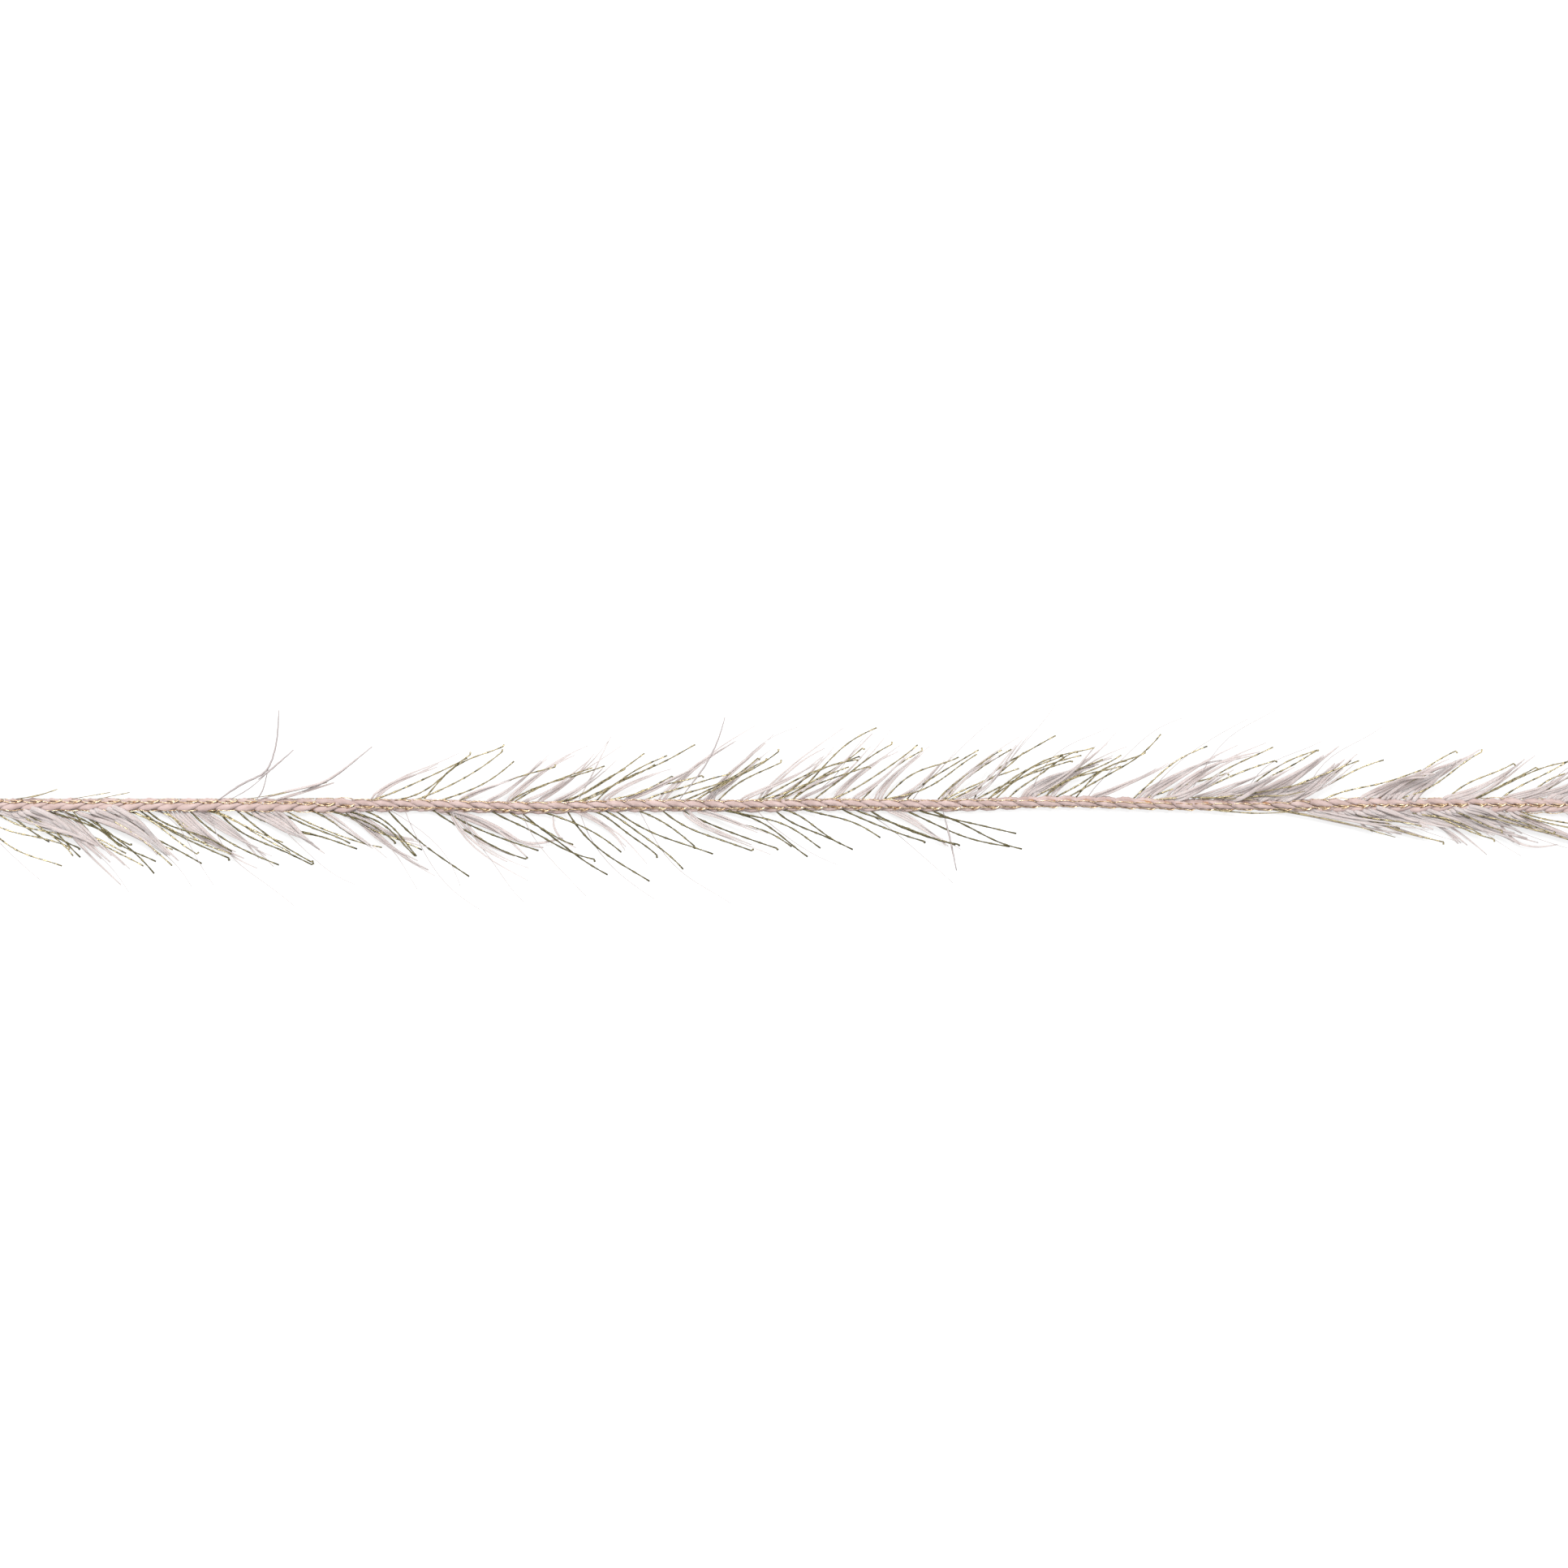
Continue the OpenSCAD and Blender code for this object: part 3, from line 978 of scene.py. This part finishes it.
# Lashes and fibres that stand out from the rest. Each has its kind and row, its thickness as a share of its
# kind's, and its points: distance from the free end, out to the far side and height, in millimetres
STRAYS = (
    ("fibre", 3.2, ((38.5, 0.5, 1), (43, 3.5, 3), (47, 5, 4), (48.5, 9.5, 5), (49, 14.5, 7))),
    ("fibre", 3.2, ((45.5, 4, 4), (47.5, 5.5, 4.5), (51, 8.5, 5))),
    ("fibre", 2.0, ((44.5, 0.5, 1.5), (46, 2, 2.5), (47, 5.5, 4))),
    ("fibre", 1.6, ((40, 0.5, 1), (44, 2.5, 2.5), (47.5, 5.5, 4.5))),
    ("rose b", 1.1, ((45.5, 1, 1), (51, 2.5, 3), (56, 3.5, 4), (63, 9, 5))),
    ("fibre", 2.8, ((49, 1, 1), (54.5, 3, 3.5), (57.5, 4.5, 4), (63, 9, 5))),
    ("rose b", 1.3, ((46.5, 0.5, 1), (52, 2, 2.5), (57, 3.5, 3))),
    ("gold b", 0.8, ((43.5, 1, 1.5), (50, 2, 2.5), (56, 3.5, 3.5))),
    ("gold b", 1.0, ((8, 1, 1.5), (11.5, 1.5, 2), (14.5, 2.5, 2.5))),
    ("gold b", 0.8, ((16.5, 1, 1.5), (22.5, 2, 2))),
    ("gold b", 0.8, ((20.5, 1, 1.5), (25.5, 2, 2))),
    ("rose a", 1.1, ((13.5, -0.5, 1.2), (15.5, -3.5, 1.2), (18.5, -7, 1.2), (24, -12.2, 1))),
    ("rose b", 1.5, ((70, -0.5, 1), (76, -1.5, 1), (82, -4, 1), (85, -5.5, 1), (88, -6, 1), (92, -5, 1))),
    ("rose b", 1.4, ((73, -0.5, 1), (78, -1.5, 1.5), (82.5, -3.5, 1.5), (86, -6, 1), (89, -6.5, 1))),
    ("rose b", 1.2, ((75, -1, 1), (79, -2, 1.5), (83, -4.5, 1.5), (86.5, -8, 1))),
    ("rose b", 0.9, ((90.5, -1, 1), (90.5, -3.5, 1), (92, -5.5, 1), (94, -6.5, 1))),
    ("rose a", 0.7, ((94.5, 1, 1.5), (96.5, 4.5, 3), (99.5, 10.5, 5))),
    ("fibre", 2.4, ((110, 1, 1.5), (114, 6, 4), (116, 10, 5.5), (117, 13.5, 6.5))),
    ("rose a", 1.0, ((126, 1, 1.5), (132, 4, 3), (135, 6.5, 4), (139.5, 11, 5))),
    ("fibre", 3.0, ((150.5, -1, 1), (151.5, -5, 2), (152.5, -10, 2))),
    ("gold a", 1.0, ((189, 0.9, 1.4), (193, 1.2, 2.2), (199, 2, 2.6), (206.5, 3.5, 3))),
    ("gold a", 0.9, ((180, 0.6, 1.5), (187, 1.3, 2.2), (193, 1.2, 2.4), (199, 0.8, 2.4))),
    ("gold a", 0.9, ((194, 0.5, 1.6), (199, 1.6, 2.4), (202.5, 1.4, 2.6), (206, 2.2, 2.6))),
    ("gold b", 0.9, ((190, -0.5, 1.4), (194, -0.9, 1.8), (199, -1.3, 1.8), (205, -0.9, 1.6))),
    ("gold b", 1.0, ((201, -0.6, 1.4), (206, -1.4, 1.6), (212, -2.6, 1.6), (220, -4.9, 1.4))),
    ("rose b", 1.3, ((200, -0.5, 1.2), (206, -1.3, 1.3), (213, -3, 1.3), (221, -4.4, 1.2))),
    ("rose b", 1.0, ((235, -1, 1), (236.5, -3.5, 1), (239, -6, 1), (242, -6.5, 1), (245, -6, 1))),
)


def strays(span, kind):
    """The lines of the strays of one kind whose roots are on a span."""
    lines = []
    for owner, thick, points in STRAYS:
        root = FREE_X + points[0][0] * MM
        if owner != kind or not span.start <= root < span.end:
            continue
        smooth = rounded([Vector(p) for p in points], 4, 3)
        last = len(smooth) - 1
        line = []
        for i, (x, y, z) in enumerate(smooth):
            taper = min(1, 0.35 + 0.2 * i) * (1 - 0.55 * (i / last) ** 2)
            line.append((Vector((FREE_X + x * MM, y * MM, z * MM)), thick * taper, 0.9 * i))
        lines.append(line)
    return lines


def rose_row(span, row):
    """Rose locks of one row on one span."""
    rng = seeded(f"rose {row} {span.number}")
    lines = []
    for place, x, side in span.roots(row):
        web = eased(from_free_end(x), WEB)
        if rng.random() > rose_share(side, x):
            continue
        root = place + rng.uniform(-0.4, 0.4) * sizes().stitch
        slope = slope_of(side, x) * rng.uniform(0.75, 1.3)
        length = sizes().lash * rng.uniform(0.66, 1.06)
        high = side > 0 or row == "a" and shares_side(x)
        lift = (rng.uniform(0.6, 5.0) if high else rng.uniform(-0.4, 2.2)) * MM
        lines += rose_lock(rng, span.route, root, side, slope, web * rng.uniform(0.55, 1.3), length, lift)
    # Flat filaments don't turn along their length
    return lines + [[(p, scale, 0) for p, scale, _ in line] for line in strays(span, f"rose {row}")]


def gold_row(span, row):
    """Gold lashes of one row on one span: the bright ones, then those of row b on the near side, darkened as painted
    shade.
    """
    rng = seeded(f"gold {row} {span.number}")
    bright, dark = strays(span, f"gold {row}"), []
    for place, x, side in span.roots(row):
        # Row b's gold on the near side takes the gold darkened as painted shade
        shown = dark if row == "b" and side < 0 and from_free_end(x) < SHADED_GOLD_TO else bright
        for _ in range(gold_count(rng, side, x)):
            root = place + rng.uniform(-0.45, 0.45) * sizes().stitch
            slope = slope_of(side, x) * rng.uniform(0.6, 1.2)
            length = sizes().lash * rng.uniform(0.68, 1.05)
            lift = (rng.uniform(0.8, 5.5) if side > 0 else rng.uniform(0.3, 3.2)) * MM
            shown.append(gold_lash(rng, span.route, root, side, slope, length, lift))
    return bright, dark


def fibre_row(span):
    """Fine fibres of one span, at every third stitch."""
    rng = seeded(f"fibre {span.number}")
    lines = []
    for place in span.route.stitches()[::3]:
        x = span.start + place
        side = row_side("a" if rng.random() < 0.6 else "b", x)
        lines.append(fine_fibre(rng, span.route, place, side, slope_of(side, x) * 1.35,
                                sizes().lash * rng.uniform(0.9, 1.25), rng.uniform(0, 6) * MM))
    return lines + strays(span, "fibre")


# ---------------------------------------------------------------- knots and ends

def plied(route, plies, lay, twist, steps, scale, gap=-math.inf):
    """The plies of a yarn, laid round a route."""
    lines = []
    for ply in range(plies):
        line = []
        for i in range(steps + 1):
            place = route.length * i / steps
            turn = math.tau * (ply / plies + place / twist)
            point = route.around(place, lay * math.cos(turn), lay * math.sin(turn), 0)
            line.append((above_floor(point, gap), scale, 0))
        lines.append(line)
    return lines


def curled(start, step, bend, count, tilt):
    """A short cut end that tapers and curls."""
    return [(above_floor(start + step * j + bend * j * j), 1 - 0.11 * j, tilt * j) for j in range(count)]


def knot_line(middle, drop):
    """The line of an overhand knot drawn tight, which leaves both ways along the strand, lower by a drop."""
    points = []
    count, reach, tight = 40, 2.12, 1.75
    for i in range(count + 1):
        t = reach * (2 * i / count - 1)
        settle = 1 - clamped((abs(t) - tight) / (reach - tight))
        knotted = Vector(((t ** 5 - 10 * t) * 0.062, (t ** 3 - 3 * t) * 0.28 * settle,
                          (t ** 4 - 4 * t * t + 2) * 0.22 * settle))
        points.append(middle + knotted * KNOT_R - UP * drop * (1 - settle))
    return points


def knot_groups(name, middle, drop):
    """A tight overhand knot in the strand's own yarn, with a few lashes caught in it."""
    rng = seeded(name)
    leg, gold = sizes().leg, sizes().gold
    route = Route(knot_line(middle, drop))
    caught, metal = [], []
    for i in range(9):
        angle = rng.uniform(0, math.tau)
        start = route.at(route.length * rng.uniform(0.25, 0.75))[0]
        out = Vector((math.cos(angle) * 0.6 + 0.7, math.sin(angle), rng.uniform(-0.1, 0.5))).normalized()
        bend = Vector([rng.uniform(-1, 1) for _ in range(3)]) * 0.05 * MM
        (caught if i % 3 else metal).append(curled(start, out * 0.6 * MM, bend, 9, 0.6))
    return [(cross_section(0.9 * leg, 0.9 * leg, 10), plied(route, 3, 0.33 * leg, 3.4 * MM, 46, 0.86),
             core_yarn()),
            (cross_section(0.4 * leg, 0.12 * leg, 6), caught, rose_filaments()),
            (cross_section(gold, 0.6 * gold, 6), metal, bright_gold())]


# ---------------------------------------------------------------- operators

class LASHTRIM_OT_stage(bpy.types.Operator):
    """Make the camera, the floor and the light"""

    bl_idname = "lash_trim.stage"
    bl_label = "Stage"

    def execute(self, context):
        look = context.scene.lash_trim_stage
        width = HANK_X - FREE_X - 2 * look.margin
        middle = Vector(((HANK_X + FREE_X) / 2, look.rise, CORE_R))
        camera = bpy.data.cameras.new("camera")
        camera.lens = look.lens
        camera.clip_end = 10
        eye = new_object("camera", camera)
        eye.location = middle + UP * (width * look.lens / camera.sensor_width)
        context.scene.camera = eye
        bpy.ops.object.select_all(action="DESELECT")
        bpy.ops.mesh.primitive_grid_add(x_subdivisions=4, y_subdivisions=4, size=6, location=(0, 0, 0))
        floor = context.active_object
        floor.name = "floor"
        material, _, shader = new_material("floor paper")
        fill_in(shader, {"Base Color": (*look.floor, 1), "Roughness": 0.9, "Specular IOR Level": 0.1,
                         "Emission Color": (1, 1, 1, 1), "Emission Strength": look.glow})
        floor.data.materials.append(material)
        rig.stage(floor)
        world = bpy.data.worlds.new("soft light")
        world.use_nodes = True
        fill_in(world.node_tree.nodes["Background"], {"Color": (1, 1, 1, 1), "Strength": look.sky})
        context.scene.world = world
        for name, place, size, power in (("key", (-0.25, 0.45, 0.8), 0.35, look.key),
                                         ("sparkle", (0.35, 0.2, 0.7), 0.06, 0.25 * look.key)):
            light = bpy.data.lights.new(name, "AREA")
            light.size = size
            light.energy = power
            lamp = new_object(name, light)
            lamp.location = place
            lamp.rotation_euler = (middle - Vector(place)).to_track_quat("-Z", "Y").to_euler()
        context.scene.view_settings.view_transform = "Standard"
        return {"FINISHED"}


class LASHTRIM_OT_core(bpy.types.Operator):
    """Make the chain-stitched core of the laid-out strand, one piece for each span"""

    bl_idname = "lash_trim.core"
    bl_label = "Chain-stitched core"

    def execute(self, context):
        for span in SPANS:
            groups = core_groups(f"core_span_{span.number}", span.route, span.turn_at, 15)
            span.make("core", groups, "core", "rose_yarn")
        return {"FINISHED"}


class LASHTRIM_OT_gold_thread(bpy.types.Operator):
    """Make the metallic thread that runs in the chain"""

    bl_idname = "lash_trim.gold_thread"
    bl_label = "Gold thread in the chain"

    def execute(self, context):
        gold = sizes().gold
        for span in SPANS:
            lines = gold_in_chain(span.route, span.turn_at, seeded(f"thread {span.number}"))
            section = cross_section(0.65 * gold, 0.45 * gold, 6)
            span.make("gold_thread", [(section, lines, chain_gold())], "gold_thread", "gold_thread")
        return {"FINISHED"}


class LASHTRIM_OT_rose_lashes(bpy.types.Operator):
    """Make the rose locks of both rows"""

    bl_idname = "lash_trim.rose_lashes"
    bl_label = "Rose lashes"

    def execute(self, context):
        width = sizes().filament
        for span in SPANS:
            for row in "ab":
                groups = [(cross_section(width, 0.3 * width, 6), rose_row(span, row), rose_filaments())]
                span.make(f"rose_lashes_{row}", groups, f"rose_row_{row}", "rose_lash")
        return {"FINISHED"}


class LASHTRIM_OT_gold_lashes(bpy.types.Operator):
    """Make the gold lashes of both rows"""

    bl_idname = "lash_trim.gold_lashes"
    bl_label = "Gold lashes"

    def execute(self, context):
        gold = sizes().gold
        for span in SPANS:
            for row in "ab":
                # The second finish is the gold darkened as painted shade; its thread is also thicker
                shown = zip(gold_row(span, row), (gold, 1.12 * gold), (bright_gold(), shaded_side_gold()))
                groups = [(cross_section(thick, 0.7 * thick, 6), lines, finish)
                          for lines, thick, finish in shown if lines]
                span.make(f"gold_lashes_{row}", groups, f"gold_row_{row}", "gold_lash")
        return {"FINISHED"}


class LASHTRIM_OT_fine_fibres(bpy.types.Operator):
    """Make the fine silvery fibres"""

    bl_idname = "lash_trim.fine_fibres"
    bl_label = "Fine fibres"

    def execute(self, context):
        fibre = sizes().fibre
        for span in SPANS:
            groups = [(cross_section(fibre, fibre, 5), fibre_row(span), silvery_fibre())]
            span.make("fine_fibres", groups, "fine_fibres", "fine_fibre")
        return {"FINISHED"}


class LASHTRIM_OT_free_end(bpy.types.Operator):
    """Make the knot and the bare tail at the free end"""

    bl_idname = "lash_trim.free_end"
    bl_label = "Free end"

    def execute(self, context):
        make_piece("knot_at_free_end", knot_groups("knot_at_free_end", KNOT, KNOT.z - CORE_R), BODIES[-1],
                   "end_knot", "rose_yarn", level=False)
        rng = seeded("tail")
        leg = sizes().leg
        fray = 3 * MM
        route = Route(straight_points(TAIL_X + fray, KNOT.x - 0.8 * KNOT_R))
        tuft = []
        for _ in range(34):
            turn = rng.uniform(0, math.tau)
            start = route.around(1.2 * MM, 0.55 * MM * math.cos(turn), 0.45 * MM * math.sin(turn), 0)
            reach = rng.uniform(0.34, 0.56) * MM
            spread = Vector((-1, rng.uniform(0, 0.5) * math.cos(turn), 0.35 * math.sin(turn) - 0.08)) * reach
            bend = Vector((0, rng.uniform(-1, 1), rng.uniform(-1, 0.6))) * 0.035 * MM
            tuft.append(curled(start, spread, bend, 8, 0.5))
        chain = chain_lines(route, lambda distance: face_turn(FREE_X), rng)
        make_piece("tail_at_free_end",
                   [(leg_section(15), chain, core_yarn()),
                    (cross_section(0.3 * leg, 0.16 * leg, 6), tuft, rose_filaments())],
                   BODIES[-1], "end_tail", "rose_yarn")
        return {"FINISHED"}


class LASHTRIM_OT_hank(bpy.types.Operator):
    """Make the folded strand of the hank, with its threads and lashes"""

    bl_idname = "lash_trim.hank"
    bl_label = "Hank"

    def execute(self, context):
        route = Route(hank_points())
        rng = seeded("hank")
        pitch = route.pitch()
        gold, width, lash = sizes().gold, sizes().filament, sizes().lash
        self.make("hank_core", core_groups("hank_core", route, self.turn_at, 6), "hank_bundle")
        lines = gold_in_chain(route, self.turn_at, rng, fine=False)
        self.make("hank_gold_thread", [(cross_section(gold, 0.6 * gold, 4), lines, chain_gold())],
                  "gold_thread")
        # Row b's gold on the hank takes the gold darkened as painted shade
        for row, side, finish in (("a", 1, bright_gold()), ("b", -1, shaded_side_gold())):
            rose, metal = [], []
            for place in route.stitches():
                root = place + rng.uniform(-0.4, 0.4) * pitch
                rose += self.held(rose_lock(rng, route, root, side, rng.uniform(14, 30),
                                            rng.uniform(0.5, 1.1), 0.72 * lash * rng.uniform(0.7, 1.1),
                                            rng.uniform(-1.2, 1.8) * MM, steps=5, hug=0.8, most=4))
                if rng.random() < 0.6:
                    metal += self.held([gold_lash(rng, route, root, side, rng.uniform(10, 26),
                                                  0.75 * lash * rng.uniform(0.7, 1.1),
                                                  rng.uniform(-1.2, 1.8) * MM, steps=6, hug=0.8)])
            flat = cross_section(1.25 * width, 0.35 * width, 4)
            self.make(f"hank_rose_lashes_{row}", [(flat, rose, rose_filaments())], "rose_lash")
            thread = cross_section(gold, 0.6 * gold, 4)
            self.make(f"hank_gold_lashes_{row}", [(thread, metal, finish)], "gold_lash")
        return {"FINISHED"}

    def turn_at(self, distance):
        """How far the chain's face is turned at a distance along the folded strand."""
        return 0.9 * math.sin(distance / (31 * MM)) + 0.7 * math.sin(distance / (11 * MM))

    def make(self, name, groups, slot):
        make_piece(name, groups, BODIES[0], "hank", slot)

    def held(self, lines):
        """Draws in the lashes where they reach beyond the hank, and keeps them above the floor."""
        inset = Vector((2, 1, 0)) * MM
        low, high = hank_low + inset, hank_high - inset
        top = high.z + 1.5 * MM
        kept = 0.6

        def drawn_in(value, least, most):
            inside = clamped(value, least, most)
            return inside + kept * (value - inside)

        def place(p):
            return Vector((drawn_in(p.x, low.x, high.x), drawn_in(p.y, low.y, high.y),
                           clamped(p.z, FLOOR_GAP, top)))

        return [[(place(p), scale, tilt) for p, scale, tilt in line] for line in lines]


class LASHTRIM_OT_hank_ends(bpy.types.Operator):
    """Make the hank's knot and its tie"""

    bl_idname = "lash_trim.hank_ends"
    bl_label = "Hank knot and tie"

    def execute(self, context):
        make_piece("knot_on_hank", knot_groups("knot_on_hank", HANK_KNOT, 0.5 * MM), BODIES[0],
                   "hank_knot", "rose_yarn", level=False)
        make_piece("tie_of_hank", self.tie_groups(), BODIES[0], "hank_tie", "tie_yarn", level=False)
        return {"FINISHED"}

    def tie_groups(self):
        """Three turns of plied yarn round the hank's waist, with a small knot and two ends on top."""
        middle = (tie_low + tie_high) / 2
        half_wide = (tie_high.y - tie_low.y) / 2
        half_high = hank_high.z / 2
        thick = 1.2 * MM
        ply, lay, twist = 0.58 * thick, 0.27 * thick, 2.6 * MM
        turns = 3
        count = 48 * turns
        wraps = []
        for i in range(count + 1):
            angle = math.tau * turns * i / count + math.pi / 2
            shape = (abs(math.cos(angle)) ** 4 + abs(math.sin(angle)) ** 4) ** -0.25
            wraps.append((middle.x + (i / count - 0.5) * 2.6 * MM,
                          (half_wide - 0.5 * thick) * shape * math.cos(angle),
                          half_high + (half_high - 0.35 * thick) * shape * math.sin(angle)))
        top = Vector((middle.x, 0, hank_high.z + 0.7 * MM))
        knot = ((-1.3, 0, -0.9), (-1.2, 0.8, 0), (-0.2, 1.1, 0.5), (0.9, 0.5, 0.3), (0.5, -0.6, 0.5),
                (-0.6, -0.9, 0.2), (-1.1, -0.1, 0.6), (-0.2, 0.5, 0.9), (0.9, 0.9, 0.3), (2.2, 2.4, 0.1),
                (3.6, 4.6, 0.0), (4.6, 7.0, 0.1))
        end = ((1.3, 0, -0.9), (1.0, -0.5, 0.1), (0.2, -0.3, 0.7), (-0.9, -0.8, 0.5), (-2.4, -2.2, 0.0),
               (-3.2, -4.6, 0.0), (-3.0, -7.2, 0.1))
        lines = []
        for points in (wraps, *(rounded([top + Vector(p) * MM for p in loose]) for loose in (knot, end))):
            route = Route(points)
            steps = max(12, round(route.length / (0.55 * MM)))
            lines += plied(route, 2, lay, twist, steps, 1, 0.5 * ply)
        return [(cross_section(ply, ply, 8), lines, core_yarn())]


class LASHTRIM_OT_declare(bpy.types.Operator):
    """Say how long and thick the strand's stretches are"""

    bl_idname = "lash_trim.declare"
    bl_label = "Measure the strand"

    def execute(self, context):
        families = ("gold_thread", "rose_lashes_a", "rose_lashes_b", "gold_lashes_a", "gold_lashes_b",
                    "fine_fibres")
        for span in SPANS:
            carried = [bpy.data.objects[f"{family}_span_{span.number}"] for family in families]
            if span is SPANS[-1]:
                carried += [bpy.data.objects["knot_at_free_end"], bpy.data.objects["tail_at_free_end"]]
            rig.cord(bpy.data.objects[f"core_span_{span.number}"], exit=span.route.points[-1],
                    length=span.end - span.start, diameter=2 * CORE_R, far_end="object", stiffness="limp",
                    lay="loose", path=span.route.points, with_pieces=carried)
        names = ("hank_gold_thread", "hank_rose_lashes_a", "hank_rose_lashes_b", "hank_gold_lashes_a",
                 "hank_gold_lashes_b", "knot_on_hank", "tie_of_hank")
        path = hank_points()
        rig.cord(bpy.data.objects["hank_core"], exit=path[0], length=1.55, diameter=2 * CORE_R, far_end="knot",
                stiffness="limp", lay="coiled", path=path, with_pieces=[bpy.data.objects[n] for n in names])
        return {"FINISHED"}


class LASHTRIM_PT_panel(bpy.types.Panel):
    """Lash trim"""

    bl_idname = "LASHTRIM_PT_panel"
    bl_label = "Lash trim"
    bl_space_type = "VIEW_3D"
    bl_region_type = "UI"
    bl_category = "Lash trim"

    def draw(self, context):
        for operator in STEPS:
            self.layout.operator(operator.bl_idname)
        for group in GROUPS:
            box = self.layout.box()
            box.label(text=group.__doc__)
            for name in group.__annotations__:
                box.prop(getattr(context.scene, GROUPS[group]), name)


STEPS = (LASHTRIM_OT_stage, LASHTRIM_OT_core, LASHTRIM_OT_gold_thread, LASHTRIM_OT_rose_lashes,
         LASHTRIM_OT_gold_lashes, LASHTRIM_OT_fine_fibres, LASHTRIM_OT_free_end, LASHTRIM_OT_hank,
         LASHTRIM_OT_hank_ends, LASHTRIM_OT_declare)
GROUPS = {LashTrimSizes: "lash_trim_sizes", LashTrimHank: "lash_trim_hank",
          LashTrimColours: "lash_trim_colours", LashTrimStage: "lash_trim_stage"}


def register():
    for group, name in GROUPS.items():
        bpy.utils.register_class(group)
        setattr(bpy.types.Scene, name, bpy.props.PointerProperty(type=group))
    for operator in STEPS:
        bpy.utils.register_class(operator)
    bpy.utils.register_class(LASHTRIM_PT_panel)


def unregister():
    bpy.utils.unregister_class(LASHTRIM_PT_panel)
    for operator in reversed(STEPS):
        bpy.utils.unregister_class(operator)
    for group, name in GROUPS.items():
        delattr(bpy.types.Scene, name)
        bpy.utils.unregister_class(group)


def main():
    register()
    bpy.ops.lash_trim.stage()
    bpy.ops.lash_trim.core()
    bpy.ops.lash_trim.gold_thread()
    bpy.ops.lash_trim.rose_lashes()
    bpy.ops.lash_trim.gold_lashes()
    bpy.ops.lash_trim.fine_fibres()
    bpy.ops.lash_trim.free_end()
    bpy.ops.lash_trim.hank()
    bpy.ops.lash_trim.hank_ends()
    bpy.ops.lash_trim.declare()
    low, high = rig.bounds()
    with open("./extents.json", "w") as file:
        json.dump({"cad": [list(CAD_LOW), list(CAD_HIGH)], "visual": [list(low), list(high)]}, file)


if __name__ == "__main__":
    main()
